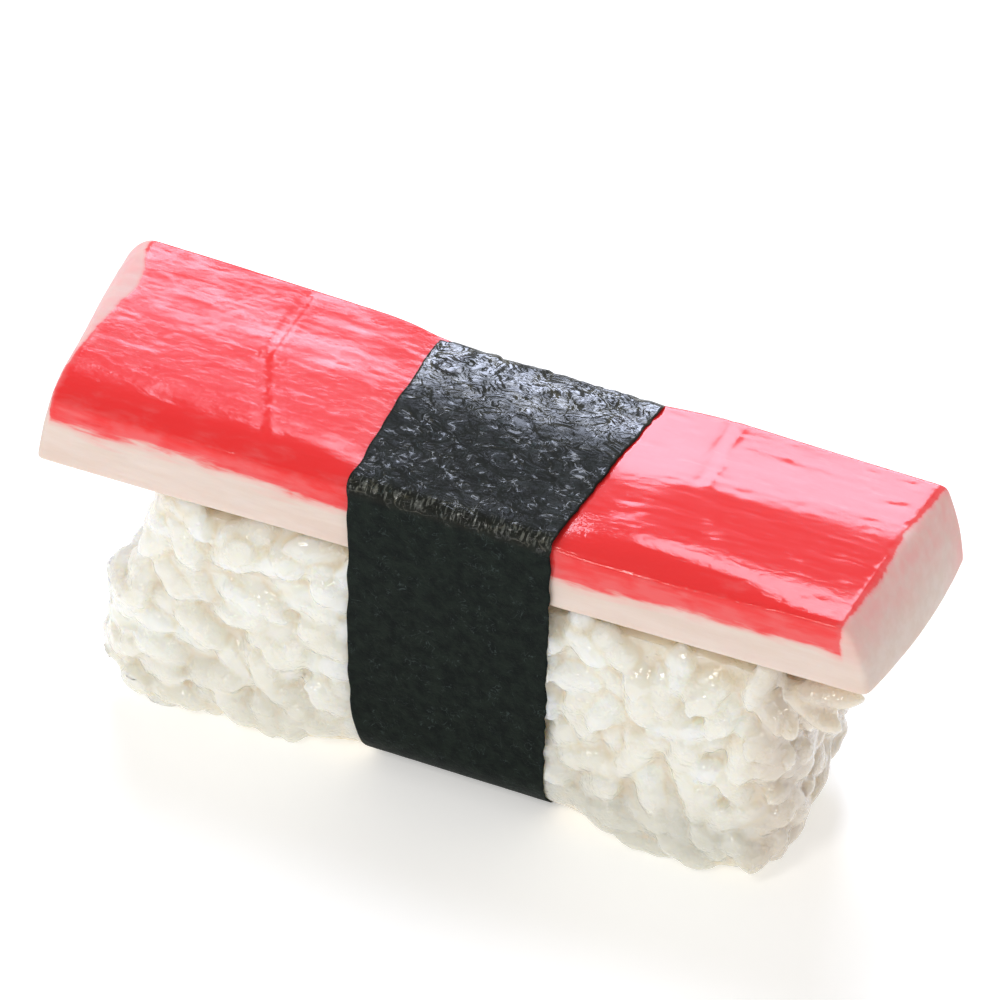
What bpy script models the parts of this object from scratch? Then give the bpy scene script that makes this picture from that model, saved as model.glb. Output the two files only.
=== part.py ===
"""Surimi nigiri: a stick of surimi on a block of pressed rice, bound with a band of nori.

X runs along the stick, Y to the back and Z up from the surface it stands on. Lengths are in metres.
"""

import math
from random import Random

import bmesh
import bpy
from mathutils import Matrix, Vector
from mathutils.bvhtree import BVHTree

GAP = 0.0003  # clear space between neighbouring pieces

# Surimi stick
STICK_TOP = 0.0340
STICK_LEFT, STICK_RIGHT = -0.0371, 0.0377  # ends of its top face
STICK_SKEW = 0.0006  # the ends are cut a little askew
STICK_FRONT, STICK_BACK = -0.0099, 0.0102
STICK_FLARE = 0.0005  # the back spreads this much more at the left end, and less at the right
STICK_BASE = 0.0251  # underside at the middle of its length
STICK_TAPER = 0.0217  # the underside rises by this share of X
STICK_EDGE = 0.0006  # radius of its long edges
SHOULDER_DROP = 0.00075  # the top falls away towards the front
END_BULGE = 0.0026  # the end faces swell out below the top edge
WAIST = 0.0006  # the band presses this far into the stick's top and back
WAIST_FADE = 0.0030
DYE_DEPTH = 0.0042  # the red runs this far down the long sides

# Rice block
RICE_LEFT, RICE_RIGHT = -0.0335, 0.0314  # of the core, which the grains stand out from
RICE_WIDTH = 0.0196
RICE_SPREAD = 0.07  # its foot is wider by this share
RICE_SKEW = 0.0017  # the right end runs askew, further out at the front
RICE_TUCK = 0.0015  # the right end draws in towards the foot
RICE_LEAN = 0.0048  # the left end draws in towards the top
RICE_ROUNDNESS = 8  # exponent of the rounded block
HEAP_LOW = Vector((-0.0348, -0.0114, 0.0001))  # how far the grains reach
HEAP_HIGH = Vector((0.0333, 0.0114, STICK_TOP))
GRAIN_LENGTH, GRAIN_WIDTH, GRAIN_THICKNESS = 0.0062, 0.0031, 0.0027
GRAIN_TRIES = 6000
GRAIN_SPACING = 0.0029
GRAIN_TIP = math.radians(8)
GRAIN_SINK = 0.0003  # depth of a grain's middle under the core's surface
GRAIN_SIDES, GRAIN_RINGS = 6, 4
GRAIN_BLUNTNESS = 1.15  # its shoulders are this much fuller than an ellipsoid's

# Nori band
NORI_THICKNESS = 0.0004
NORI_LEFT = -0.0090
NORI_RIGHT_TOP, NORI_RIGHT_LOW = 0.0122, 0.0097  # its right edge at the back of the top, and below
NORI_SIDE = 0.0104  # from the middle to the sheet, front and back
NORI_UNDER = NORI_THICKNESS / 2
NORI_LAP = NORI_UNDER + NORI_THICKNESS + GAP  # height of the lapped end, over the other
NORI_TOP = STICK_TOP - WAIST + GAP + NORI_THICKNESS / 2
NORI_CORNER = 0.0060  # radius of its lower corners
CHANNEL = NORI_LAP + NORI_THICKNESS / 2 + GAP  # the rice is held up this far where the band passes under

SEED = 7


def clear_scene():
    for thing in list(bpy.data.objects):
        bpy.data.objects.remove(thing)


def new_collection(name):
    collection = bpy.data.collections.new(name)
    bpy.context.scene.collection.children.link(collection)
    return collection


def make_material(name, colour, roughness):
    material = bpy.data.materials.new(name)
    material.use_nodes = True
    surface = material.node_tree.nodes["Principled BSDF"]
    surface.inputs["Base Color"].default_value = (*colour, 1)
    surface.inputs["Roughness"].default_value = roughness
    surface.inputs["Metallic"].default_value = 0
    return material


def add_object(name, bm, collection, materials):
    mesh = bpy.data.meshes.new(name)
    bmesh.ops.recalc_face_normals(bm, faces=bm.faces)
    bm.to_mesh(mesh)
    bm.free()
    for material in materials:
        mesh.materials.append(material)
    mesh.shade_smooth()
    mesh.set_sharp_from_angle(angle=math.radians(40))
    thing = bpy.data.objects.new(name, mesh)
    collection.objects.link(thing)
    return thing


def stations(count):
    """Places of the cuts that divide the span from -1 to 1 into equal lengths."""
    return [2 * step / count - 1 for step in range(1, count)]


def cut_cube(cuts_x, cuts_y, cuts_z):
    """A cube from -1 to 1 whose faces are cut at these places."""
    bm = bmesh.new()
    bmesh.ops.create_cube(bm, size=2)
    for axis, cuts in enumerate((cuts_x, cuts_y, cuts_z)):
        direction = Vector([float(axis == other) for other in range(3)])
        for place in cuts:
            everything = bm.verts[:] + bm.edges[:] + bm.faces[:]
            bmesh.ops.bisect_plane(bm, geom=everything, plane_co=direction * place, plane_no=direction)
    return bm


def stick_base(x):
    """Height of the stick's underside."""
    return STICK_BASE + STICK_TAPER * x


def waist(x):
    """How far the band draws the stick in at this place along it."""
    beyond = max(NORI_LEFT - x, x - NORI_RIGHT_TOP, 0)
    fade = max(0, 1 - beyond / WAIST_FADE)
    return WAIST * fade * fade * (3 - 2 * fade)


def stick_point(unit):
    """Where a point of the unit cube lies on the stick."""
    depth = (1 - unit.z) / 2
    bulge = END_BULGE * (1 - (1 - depth) ** (3.2 + 1.9 * unit.y))
    left = STICK_LEFT - STICK_SKEW * (unit.y + 1) / 2 - bulge * (1 + 0.15 * unit.y)
    bulge = END_BULGE * (1 - (1 - depth) ** 2)
    right = STICK_RIGHT + STICK_SKEW * unit.y + bulge * (1.05 - 0.1 * unit.y - 0.3 * unit.y**2)
    x = left + (right - left) * (unit.x + 1) / 2
    drawn_in = waist(x)
    back = STICK_BACK - STICK_FLARE * unit.x - drawn_in
    y = STICK_FRONT + (back - STICK_FRONT) * (unit.y + 1) / 2
    top = STICK_TOP - SHOULDER_DROP * max(0, -unit.y) ** 1.5 - drawn_in
    return Vector((x, y, top + (stick_base(x) - top) * depth))


def build_stick(collection):
    flesh = make_material("surimi", (0.83, 0.76, 0.66), 0.4)
    dye = make_material("surimi_dye", (0.80, 0.06, 0.06), 0.35)
    bm = cut_cube(stations(20), stations(4), stations(4))
    for vert in bm.verts:
        vert.co = stick_point(vert.co)
    for face in bm.faces:
        middle = face.calc_center_median()
        on_end = abs(face.normal.x) > 0.5
        face.material_index = int(middle.z > STICK_TOP - DYE_DEPTH and not on_end)
    stick = add_object("surimi_stick", bm, collection, (flesh, dye))
    edges = stick.modifiers.new("Rounded edges", "BEVEL")
    edges.width = STICK_EDGE
    edges.segments = 2
    edges.limit_method = "ANGLE"
    edges.angle_limit = math.radians(45)


def nori_right(y, z):
    """The band's right edge: it slants over the top and stays upright down the front."""
    back = (y / NORI_SIDE + 1) / 2
    rise = max(0, min(1, z / NORI_TOP))
    return NORI_RIGHT_LOW + (NORI_RIGHT_TOP - NORI_RIGHT_LOW) * rise * (0.4 + 0.6 * back)


def inside_band(y, z):
    """Bring a point of the rice under the band inside the band's channel."""
    z = max(z, CHANNEL)
    inner_side = NORI_SIDE - NORI_THICKNESS / 2 - GAP
    y = max(-inner_side, min(y, inner_side))
    corner_y = NORI_SIDE - NORI_CORNER
    corner_z = CHANNEL + NORI_CORNER - GAP
    away = Vector((max(abs(y) - corner_y, 0), min(z - corner_z, 0)))
    limit = NORI_CORNER - NORI_THICKNESS - 2 * GAP
    if away.length > limit and away.x > 0 and away.y < 0:
        away *= limit / away.length
        y = math.copysign(corner_y + away.x, y)
        z = corner_z + away.y
    return y, z


def end_shift(unit, rise):
    """How far the block's ends are pushed along X: the left leans, the right is skewed and tucked in."""
    leftness, rightness = max(0, -2 * unit.x - 1), max(0, 2 * unit.x - 1)
    lean = RICE_LEAN * leftness * max(0, rise - 0.5) * 2
    tuck = RICE_TUCK * rightness * max(0, 0.5 - rise) * 2
    return lean - tuck - RICE_SKEW * rightness * unit.y


def rice_core():
    """The block under the grains: round at its edges, and drawn in where the band goes round it."""
    half_length = (RICE_RIGHT - RICE_LEFT) / 2
    middle = (RICE_RIGHT + RICE_LEFT) / 2
    band_low, band_high = NORI_LEFT - GAP, NORI_RIGHT_TOP + GAP
    band_ends = (band_low - GAP, band_low, band_high, band_high + GAP)
    cuts_x = sorted(stations(14) + [(x - middle) / half_length for x in band_ends])
    bm = cut_cube(cuts_x, stations(6), stations(6))
    for vert in bm.verts:
        size = sum(abs(part) ** RICE_ROUNDNESS for part in vert.co) ** (1 / RICE_ROUNDNESS)
        unit = vert.co / size
        unit.x = vert.co.x if abs(vert.co.x) < 0.6 else unit.x
        rise = (unit.z + 1) / 2
        x = middle + half_length * unit.x + end_shift(unit, rise)
        y = unit.y * RICE_WIDTH / 2 * (1 + RICE_SPREAD * (1 - rise))
        z = rise * (stick_base(x) - GAP)
        if band_low - GAP / 2 < x < band_high + GAP / 2:
            y, z = inside_band(y, z)
        vert.co = (x, y, z)
    return bm


def grain_matrix(spot, normal, draw):
    """Lay a grain flat against the core, turned and tipped at random."""
    facing = normal.to_track_quat("Z", "Y").to_matrix().to_4x4()
    turn = Matrix.Rotation(draw.uniform(0, math.pi), 4, "Z")
    tip = Matrix.Rotation(draw.gauss(0, GRAIN_TIP), 4, "Y")
    size = [length / 2 * draw.uniform(0.92, 1.08) for length in (GRAIN_LENGTH, GRAIN_WIDTH, GRAIN_THICKNESS)]
    return Matrix.Translation(spot - normal * GRAIN_SINK) @ facing @ turn @ tip @ Matrix.Diagonal((*size, 1))


def clear_of_neighbours(grain):
    """Slide a grain inside the heap's bounds and clear of the stick and the band."""
    reach = GRAIN_BLUNTNESS * Vector([row.length for row in grain.to_3x3()])
    place = grain.to_translation()
    high = HEAP_HIGH.copy()
    high.z = stick_base(place.x - reach.x) - GAP
    for axis in range(3):
        place[axis] = min(max(place[axis], HEAP_LOW[axis] + reach[axis]), high[axis] - reach[axis])
    right = nori_right(place.y, place.z + reach.z) + GAP
    if place.x < (NORI_LEFT + right) / 2:
        place.x = min(place.x, NORI_LEFT - GAP - reach.x)
    else:
        place.x = max(place.x, right + reach.x)
    moved = grain.copy()
    moved.translation = place
    return moved


def scatter_grains(core):
    """Grains spread over the core's four sides, none closer to another than the spacing."""
    draw = Random(SEED)
    surface = BVHTree.FromBMesh(core)
    grains = []
    for _ in range(GRAIN_TRIES):
        around = draw.uniform(0, 2 * math.pi)
        start = Vector((0.045 * math.cos(around), 0.02 * math.sin(around), draw.uniform(0, STICK_BASE)))
        if draw.random() < 0.75:
            start.x = draw.uniform(RICE_LEFT, RICE_RIGHT)
        spot, normal, _, _ = surface.find_nearest(start)
        if normal.z > 0.7:
            continue
        grain = clear_of_neighbours(grain_matrix(spot, normal, draw))
        if all((grain.translation - other.translation).length > GRAIN_SPACING for other in grains):
            grains.append(grain)
    return grains


def make_grain(matrix):
    """A blunt grain, whose length is its sphere's axis laid along X, brought to its place."""
    bm = bmesh.new()
    lying = Matrix.Rotation(math.pi / 2, 4, "Y")
    bmesh.ops.create_uvsphere(bm, u_segments=GRAIN_SIDES, v_segments=GRAIN_RINGS, radius=1, matrix=lying)
    for vert in bm.verts:
        if 0.1 < abs(vert.co.x) < 0.9:
            vert.co *= GRAIN_BLUNTNESS
    bm.transform(matrix)
    return bm


def keep_outer_shell(mesh):
    """Drop the sealed hollows and loose scraps that joining the grains leaves."""
    bm = bmesh.new()
    bm.from_mesh(mesh)
    unseen = set(bm.verts)
    shells = []
    while unseen:
        edge_of_search = [unseen.pop()]
        shell = set(edge_of_search)
        while edge_of_search:
            vert = edge_of_search.pop()
            found = {edge.other_vert(vert) for edge in vert.link_edges} - shell
            shell |= found
            edge_of_search.extend(found)
        unseen -= shell
        shells.append(shell)
    shells.sort(key=len)
    for shell in shells[:-1]:
        bmesh.ops.delete(bm, geom=list(shell), context="VERTS")
    bmesh.ops.triangulate(bm, faces=bm.faces)
    bm.to_mesh(mesh)
    bm.free()


def build_rice(collection):
    rice_material = make_material("rice", (0.80, 0.76, 0.67), 0.35)
    core = rice_core()
    grains = scatter_grains(core)
    rice = add_object("rice", core, collection, (rice_material,))
    grain_collection = new_collection("grains")
    for number, grain in enumerate(grains):
        add_object(f"grain_{number}", make_grain(grain), grain_collection, (rice_material,))
    union = rice.modifiers.new("Fused grains", "BOOLEAN")
    union.operation = "UNION"
    union.operand_type = "COLLECTION"
    union.collection = grain_collection
    bpy.context.view_layer.objects.active = rice
    bpy.ops.object.modifier_apply(modifier=union.name)
    for grain in list(grain_collection.objects):
        bpy.data.objects.remove(grain)
    bpy.data.collections.remove(grain_collection)
    keep_outer_shell(rice.data)


def rounded_path(corners, step):
    """Points of a line through corners (y, z, radius), rounded at each by its radius."""
    points = [Vector(corners[0][:2])]
    for before, corner, after in zip(corners, corners[1:], corners[2:]):
        here = Vector(corner[:2])
        back = (Vector(before[:2]) - here).normalized()
        ahead = (Vector(after[:2]) - here).normalized()
        turn = math.pi - back.angle(ahead)
        tangent = corner[2] * math.tan(turn / 2)
        centre = here + (back + ahead).normalized() * corner[2] / math.cos(turn / 2)
        start = here + back * tangent - centre
        side = math.copysign(1, back.x * ahead.y - back.y * ahead.x)
        count = max(2, math.ceil(corner[2] * turn / step))
        for number in range(count + 1):
            points.append(centre + Matrix.Rotation(-side * turn * number / count, 2) @ start)
    points.append(Vector(corners[-1][:2]))
    return points


def build_nori(collection):
    """An open strip: from the lapped end under the rice up the back, over the stick and down the front."""
    path = rounded_path(
        (
            (-0.0042, NORI_LAP, 0),
            (0.0030, NORI_LAP, 0.002),
            (0.0046, NORI_UNDER, 0.002),
            (NORI_SIDE, NORI_UNDER, 0.0054),
            (NORI_SIDE, NORI_TOP, 0.0013),
            (0, NORI_TOP, 0.020),
            (-NORI_SIDE, NORI_TOP - SHOULDER_DROP, 0.0015),
            (-NORI_SIDE, NORI_UNDER, NORI_CORNER),
            (0.0018, NORI_UNDER, 0),
        ),
        step=0.0008,
    )
    last = len(path) - 1
    bm = bmesh.new()
    bmesh.ops.create_grid(bm, x_segments=last, y_segments=3, size=1)
    for vert in bm.verts:
        y, z = path[round((vert.co.x + 1) / 2 * last)]
        across = (vert.co.y + 1) / 2
        vert.co = (NORI_LEFT + (nori_right(y, z) - NORI_LEFT) * across, y, z)
    material = make_material("nori", (0.016, 0.022, 0.018), 0.4)
    band = add_object("nori_band", bm, collection, (material,))
    sheet = band.modifiers.new("Sheet", "SOLIDIFY")
    sheet.thickness = NORI_THICKNESS
    sheet.offset = 0


def main():
    clear_scene()
    collection = new_collection("surimi nigiri")
    build_stick(collection)
    build_rice(collection)
    build_nori(collection)


main()
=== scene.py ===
"""Surimi nigiri: the looks of the rice, the surimi stick and the nori band, laid out as a Blender add-on.

X runs along the stick, Y to the back and Z up from the floor. Lengths are in metres.
"""

import math
from random import Random

import bpy
import numpy as np
from bpy.props import FloatProperty, FloatVectorProperty, IntProperty, PointerProperty
from mathutils import Matrix, Vector, noise
from mathutils.bvhtree import BVHTree
from mathutils.kdtree import KDTree


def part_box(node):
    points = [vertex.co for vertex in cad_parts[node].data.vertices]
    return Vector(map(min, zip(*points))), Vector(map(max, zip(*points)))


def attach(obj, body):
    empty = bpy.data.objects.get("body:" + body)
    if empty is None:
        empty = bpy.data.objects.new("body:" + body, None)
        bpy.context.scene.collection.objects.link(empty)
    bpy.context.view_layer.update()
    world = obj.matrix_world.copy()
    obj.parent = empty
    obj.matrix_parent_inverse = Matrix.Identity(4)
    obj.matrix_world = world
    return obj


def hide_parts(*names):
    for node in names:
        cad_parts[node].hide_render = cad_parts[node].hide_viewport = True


bl_info = {
    "name": "Surimi Nigiri",
    "version": (1, 0, 0),
    "blender": (4, 5, 0),
    "location": "3D View > Sidebar > Nigiri",
    "description": "Models pressed rice, a surimi stick and the nori band round them",
    "category": "Add Mesh",
}

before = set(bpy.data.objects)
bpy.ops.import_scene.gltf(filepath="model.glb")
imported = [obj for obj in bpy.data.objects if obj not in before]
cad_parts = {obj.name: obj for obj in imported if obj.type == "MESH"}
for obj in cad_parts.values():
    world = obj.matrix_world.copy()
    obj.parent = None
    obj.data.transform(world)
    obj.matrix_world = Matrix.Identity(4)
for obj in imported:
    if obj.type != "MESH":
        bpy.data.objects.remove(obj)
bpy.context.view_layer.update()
STICK_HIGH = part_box("surimi_stick")[1]
BAND_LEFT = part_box("nori_band")[0].x

MM = 0.001


def mm(*values):
    return tuple(value * MM for value in values)


# Stick: its ends and long sides, and how far they are out of square
STICK_LEFT, STICK_RIGHT = -37.5 * MM, 37.8 * MM
STICK_SKEW = 0.6 * MM
STICK_FRONT, STICK_BACK = -9.9 * MM, 10.2 * MM
STICK_FLARE = 0.5 * MM
BACK_BEND = 0.35 * MM
# Height and slope of its underside
STICK_BASE = 25.1 * MM
STICK_TAPER = 0.0217
# How far its top falls to the front shoulder, and from where
SHOULDER_DROP = 0.82 * MM
CROWN_FRONT = 0.08
# How much further it rolls over at the edge, from where, and where along it this fades
SHOULDER_ROLL = 1.2 * MM
ROLL_START, ROLL_WIDTH = 0.72, 0.28
ROLL_BAND_FADE = mm(-2, 2)
ROLL_END_FADE = mm(17, 36)
# Swell of its end faces, and the length over which the band draws it in
END_BULGE = 2.6 * MM
WAIST_FADE = 1.6 * MM

# Band: its right edge at the top and at the foot, its sides' distance from the middle, its lower corners' radius
BAND_RIGHT_TOP, BAND_RIGHT_LOW = 12.1 * MM, 9.45 * MM
BAND_SIDE = 10.3 * MM
BAND_CORNER = 5.3 * MM


def select_only(thing):
    bpy.ops.object.select_all(action="DESELECT")
    thing.select_set(True)
    bpy.context.view_layer.objects.active = thing


def places_of(mesh, kind="co"):
    """The mesh's vertices as rows of an array."""
    flat = np.empty(len(mesh.vertices) * 3)
    mesh.vertices.foreach_get(kind, flat)
    return flat.reshape(-1, 3)


def normals_of(mesh):
    return places_of(mesh, "normal")


def move_vertices(mesh, places):
    mesh.vertices.foreach_set("co", np.ascontiguousarray(places, dtype=np.float32).ravel())
    mesh.update()


def store_values(mesh, **named):
    """Keep numbers of these names for each vertex, for the material to read."""
    for name, values in named.items():
        attribute = mesh.attributes.new(name, "FLOAT", "POINT")
        attribute.data.foreach_set("value", np.ascontiguousarray(values, dtype=np.float32))


def ramp(low, high, values):
    share = np.clip((values - low) / (high - low), 0, 1)
    return share * share * (3 - 2 * share)


def noise_at(places, stretch, seed=0.0):
    """Noise from -1 to 1, its lumps this long in millimetres for each axis."""
    scaled = places / (np.array(stretch) * MM) + seed
    return np.array([noise.noise(Vector(row)) for row in scaled])


def apply_modifier(thing, kind, **settings):
    select_only(thing)
    modifier = thing.modifiers.new(kind.title(), kind)
    for name, value in settings.items():
        setattr(modifier, name, value)
    bpy.ops.object.modifier_apply(modifier=modifier.name)


def add_mesh(operator, name, **settings):
    """A new object of this name, made by this operator."""
    bpy.ops.object.select_all(action="DESELECT")
    operator(**settings)
    made = bpy.context.object
    made.name = made.data.name = name
    return made


def even_cuts(count):
    """Places that divide the span from -1 to 1 into equal lengths."""
    return [2 * step / count - 1 for step in range(1, count)]


def add_cut_cube(name, cuts):
    """A cube from -1 to 1, its faces cut at the places given for each axis."""
    cube = add_mesh(bpy.ops.mesh.primitive_cube_add, name, size=2)
    bpy.ops.object.mode_set(mode="EDIT")
    for axis, places in enumerate(cuts):
        direction = Vector([float(axis == other) for other in range(3)])
        for place in places:
            bpy.ops.mesh.select_all(action="SELECT")
            bpy.ops.mesh.bisect(plane_co=direction * place, plane_no=direction)
    bpy.ops.object.mode_set(mode="OBJECT")
    return cube


def dress(piece, node, material):
    """Give a piece its finish and put it in its CAD node's place."""
    piece.data.materials.clear()
    piece.data.materials.append(material)
    select_only(piece)
    bpy.ops.object.shade_smooth()
    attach(piece, "root")
    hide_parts(node)


class Socket:
    """A shader value for use in sums: each operator adds a Math node."""

    def __init__(self, shader, socket):
        self.shader = shader
        self.socket = socket

    def _math(self, operation, first, second):
        return self.shader.node("ShaderNodeMath", {"operation": operation}, {0: first, 1: second})

    def __add__(self, other):
        return self._math("ADD", self, other)

    def __radd__(self, other):
        return self._math("ADD", other, self)

    def __sub__(self, other):
        return self._math("SUBTRACT", self, other)

    def __rsub__(self, other):
        return self._math("SUBTRACT", other, self)

    def __mul__(self, other):
        return self._math("MULTIPLY", self, other)

    def __rmul__(self, other):
        return self._math("MULTIPLY", other, self)


class Shader:
    """A material's node tree, built by calls that each return a socket."""

    def __init__(self, name, **surface):
        self.material = bpy.data.materials.new(name)
        self.material.use_nodes = True
        self.tree = self.material.node_tree
        self.surface = self.with_constants(self.tree.nodes["Principled BSDF"], surface)
        object_place = self.node("ShaderNodeTexCoord", output="Object")
        in_millimetres = {0: object_place, "Scale": 1 / MM}
        self.place = self.node("ShaderNodeVectorMath", {"operation": "SCALE"}, in_millimetres)

    @staticmethod
    def with_constants(surface, constants):
        for name, value in constants.items():
            surface.inputs[name.replace("_", " ")].default_value = value
        return surface

    def node(self, kind, settings=None, inputs=None, output=0):
        """Add a node, set or link its inputs, and return one of its outputs."""
        made = self.tree.nodes.new(kind)
        for name, value in (settings or {}).items():
            setattr(made, name, value)
        for name, value in (inputs or {}).items():
            if isinstance(value, Socket):
                self.tree.links.new(value.socket, made.inputs[name])
            else:
                made.inputs[name].default_value = value
        return Socket(self, made.outputs[output])

    def feed(self, surface=None, **links):
        """Link values to a surface's own sockets."""
        for name, value in links.items():
            self.tree.links.new(value.socket, (surface or self.surface).inputs[name.replace("_", " ")])

    def second_surface(self, share, **constants):
        """Another surface, mixed over the first by this share."""
        surface = self.with_constants(self.tree.nodes.new("ShaderNodeBsdfPrincipled"), constants)
        first, second = Socket(self, self.surface.outputs[0]), Socket(self, surface.outputs[0])
        mixed = self.node("ShaderNodeMixShader", {}, {0: share, 1: first, 2: second})
        self.tree.links.new(mixed.socket, self.tree.nodes["Material Output"].inputs["Surface"])
        return surface

    def attribute(self, name):
        return self.node("ShaderNodeAttribute", {"attribute_name": name}, output="Fac")

    def stretched(self, stretch):
        """Object places in millimetres, divided by the length given for each axis."""
        return self.node("ShaderNodeVectorMath", {"operation": "DIVIDE"}, {0: self.place, 1: stretch})

    def noise(self, stretch, detail=2.0, roughness=0.5, distortion=0.0):
        """Noise round 0.5, its lumps this long in millimetres for each axis."""
        inputs = {"Vector": self.stretched(stretch), "Scale": 1.0, "Detail": detail}
        inputs |= {"Roughness": roughness, "Distortion": distortion}
        return self.node("ShaderNodeTexNoise", {}, inputs, "Fac")

    def crease(self, stretch, distortion=0.0):
        """Noise folded at its middle: 0 along sharp creases, rising from them."""
        middle = self.noise(stretch, detail=2.0, distortion=distortion) - 0.5
        return self.node("ShaderNodeMath", {"operation": "ABSOLUTE"}, {0: middle})

    def between(self, value, low, high, to_low=0.0, to_high=1.0):
        """Bring a value from one range to another, smoothly and clamped."""
        inputs = {"Value": value, "From Min": low, "From Max": high, "To Min": to_low, "To Max": to_high}
        return self.node("ShaderNodeMapRange", {"interpolation_type": "SMOOTHSTEP"}, inputs)

    def mix(self, share, first, second):
        """Mix two colours, each of them a socket or a colour of the settings."""
        first, second = (each if isinstance(each, Socket) else (*each, 1.0) for each in (first, second))
        return self.node("ShaderNodeMix", {"data_type": "RGBA"}, {0: share, 6: first, 7: second}, 2)

    def bump(self, height, distance, under=None):
        """Relief of this depth in millimetres."""
        inputs = {"Height": height, "Distance": distance * MM, "Strength": 1.0}
        if under:
            inputs["Normal"] = under
        return self.node("ShaderNodeBump", {}, inputs, "Normal")


# Light inside the flesh and the grains
FLESH_LIGHT = {"Subsurface_Weight": 0.35, "Subsurface_Radius": (1.0, 0.6, 0.4)}
GRAIN_LIGHT = {"Subsurface_Weight": 1.0, "Subsurface_Radius": (1.0, 0.9, 0.7)}

# Depths of the materials' relief, in millimetres
FIBRE_RELIEF, PORE_RELIEF = 0.018, 0.044
STARCH_RELIEF, FILM_RELIEF, GLINT_RELIEF = 0.03, 0.17, 0.11
SHEET_RELIEF, FOLD_RELIEF, CRINKLE_RELIEF, RIPPLE_RELIEF = 0.12, 0.65, 0.30, 0.014


def surimi_material(settings):
    """Moist white flesh in lengthwise fibres, with the red dye brushed over its top and long sides."""
    light = {**FLESH_LIGHT, "Subsurface_Scale": settings.softness}
    shader = Shader("surimi", Specular_IOR_Level=0.5, IOR=1.42, **light)
    dye, left = shader.attribute("dye"), shader.attribute("left")
    strokes = shader.noise((6.0, 0.8, 0.8), 4.0, roughness=0.6)
    patches = shader.noise((3.4, 1.5, 1.5), 3.0, distortion=0.4)
    streaks = shader.noise((7.0, 1.2, 1.2), 4.0, roughness=0.6)
    fibres = shader.noise((3.2, 0.34, 0.34), 3.0, roughness=0.6)
    pores = shader.noise((0.9, 0.55, 0.55), 2.5)

    # The dye has a ragged edge with a pink halo, and is thinner towards it
    ragged = dye + (strokes - 0.5) * 0.30 + (patches - 0.5) * 0.20
    dyed = shader.between(ragged, 0.45, 0.57)
    halo = shader.between(ragged, 0.34, 0.50, 0.0, 0.40)
    thick = shader.between(dye + (patches - 0.5) * 0.9 + (strokes - 0.5) * 0.5, 0.50, 0.92)
    red = shader.mix(thick, settings.dye_thin, settings.dye_deep)
    flesh = shader.mix(shader.between(streaks, 0.30, 0.70), settings.flesh, settings.flesh_shade)
    blush = shader.attribute("rub") * shader.between(patches, 0.2, 0.8, 0.35, 0.75) + halo
    skin = shader.mix(dyed, shader.mix(blush, flesh, settings.blush), red)

    coarse = shader.attribute("coarse") * shader.between(patches, 0.3, 0.7, 0.5, 1.0)
    relief = shader.bump(fibres * coarse, FIBRE_RELIEF)
    relief = shader.bump(pores * coarse, PORE_RELIEF, under=relief)
    roughness = shader.between(strokes * 0.5 + fibres * 0.5, 0.3, 0.7, 0.08, 0.14) + left * 0.07
    shader.feed(Base_Color=skin, Roughness=roughness, Normal=relief)

    # The undyed ends and strokes over the left half are matt
    dry_strokes = shader.between(strokes * 0.5 + patches * 0.5, 0.40, 0.60, 0.0, 0.65)
    matt_share = shader.attribute("cut") * (1 - dyed) + left * dry_strokes
    matt = shader.second_surface(matt_share, Specular_IOR_Level=0.1, Roughness=0.6, **light)
    shader.feed(matt, Base_Color=skin)
    return shader.material


def rice_material(settings):
    """Sticky cooked grains, translucent and wet, with painted shade that darkens and warms the gaps and seams
    between them, the rice under the stick, the right end and the foot.
    """
    light = {**GRAIN_LIGHT, "Subsurface_Scale": settings.softness}
    shader = Shader("rice", Specular_IOR_Level=1.0, IOR=1.40, **light)
    mottle = shader.noise((1.6, 1.6, 1.6), 3.0)
    starch = shader.noise((0.9, 0.9, 0.9), 4.0, roughness=0.6)
    film = shader.noise((0.65, 0.65, 0.65), 1.5, distortion=0.8)
    glints = shader.noise((0.32, 0.32, 0.32), 1.0)

    clearness = shader.between(shader.attribute("tone") * 0.7 + mottle * 0.6, 0.3, 1.0)
    grain = shader.mix(clearness, settings.grain, settings.grain_shade)
    # Painted shade: the grains are greyer and darker towards the foot
    grain = shader.mix(shader.attribute("foot"), grain, settings.foot_shade_tint)
    # Painted shade: the grains at the right end are darker
    grain = shader.mix(shader.attribute("end"), grain, settings.end_shade_tint)
    # Painted shade: the gaps, the seams between grains and the rice under the stick turn darker and warmer
    gap = shader.between(shader.attribute("gap") + shader.attribute("seam") * 0.3, 0.20, 0.90)

    # The wet film stands in small bubbles in some places
    bubbly = shader.between(shader.noise((2.2, 2.2, 2.2)), 0.38, 0.58, 0.1, 1.0)
    relief = shader.bump(starch, STARCH_RELIEF)
    relief = shader.bump(film * bubbly, FILM_RELIEF, under=relief)
    relief = shader.bump(glints * bubbly, GLINT_RELIEF, under=relief)
    shader.feed(
        Base_Color=shader.mix(gap, grain, settings.gap_shade_tint),
        Roughness=shader.between(starch, 0.35, 0.65, 0.05, 0.11),
        Normal=relief,
    )
    return shader.material


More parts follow.
